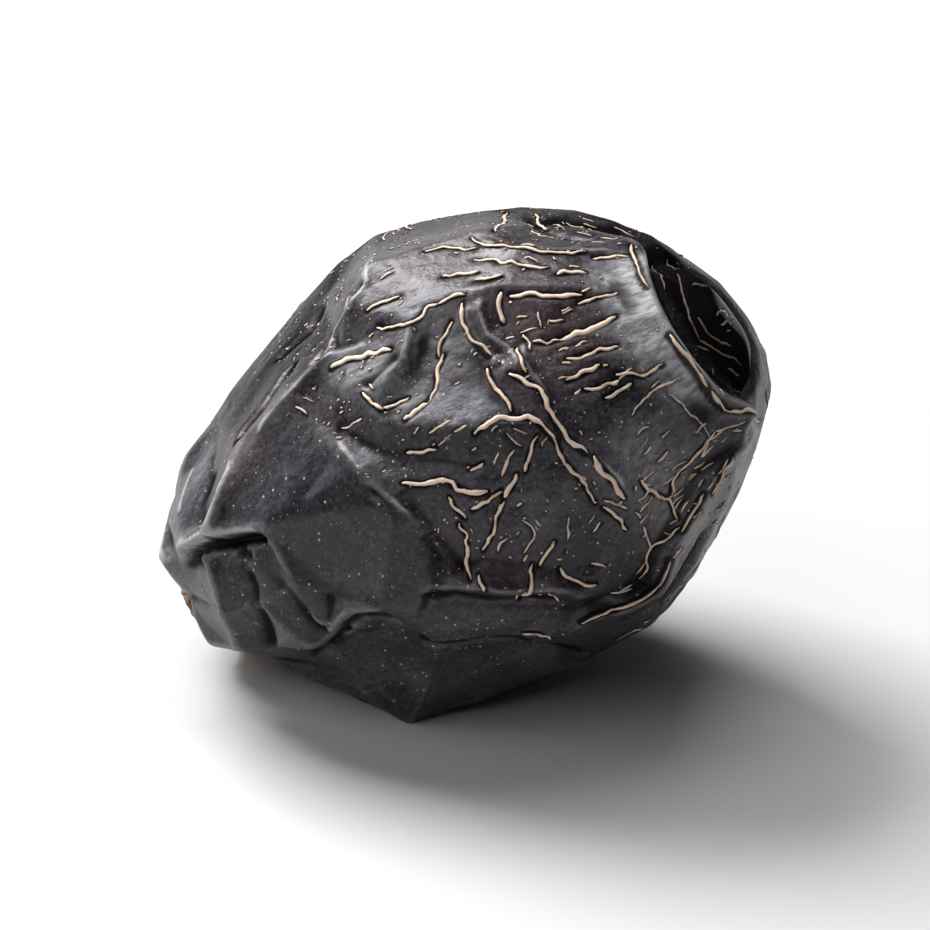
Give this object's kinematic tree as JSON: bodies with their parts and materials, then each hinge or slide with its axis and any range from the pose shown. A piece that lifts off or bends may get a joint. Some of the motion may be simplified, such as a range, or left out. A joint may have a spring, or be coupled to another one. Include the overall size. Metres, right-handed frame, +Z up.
{
  "type": "ajwa date",
  "caption": "Small dark dried date with a folded, cracked skin, a blunt round tip and a woody cap on its stem end, lying on a flat spot",
  "frame": {"origin": "on the ground, under the middle of the fruit's box", "axes": "+Z up; +X toward the raised blunt tip; -Y toward the viewer of the picture"},
  "size_m": [0.0302, 0.0246, 0.025],
  "materials": {
    "flesh": "near-black folded fruit skin with a soft sheen and fine tan cracks",
    "calyx": "dry, fibrous and matt"
  },
  "bodies": {
    "root": {"flesh": "flesh", "calyx": "calyx"}
  },
  "joints": []
}
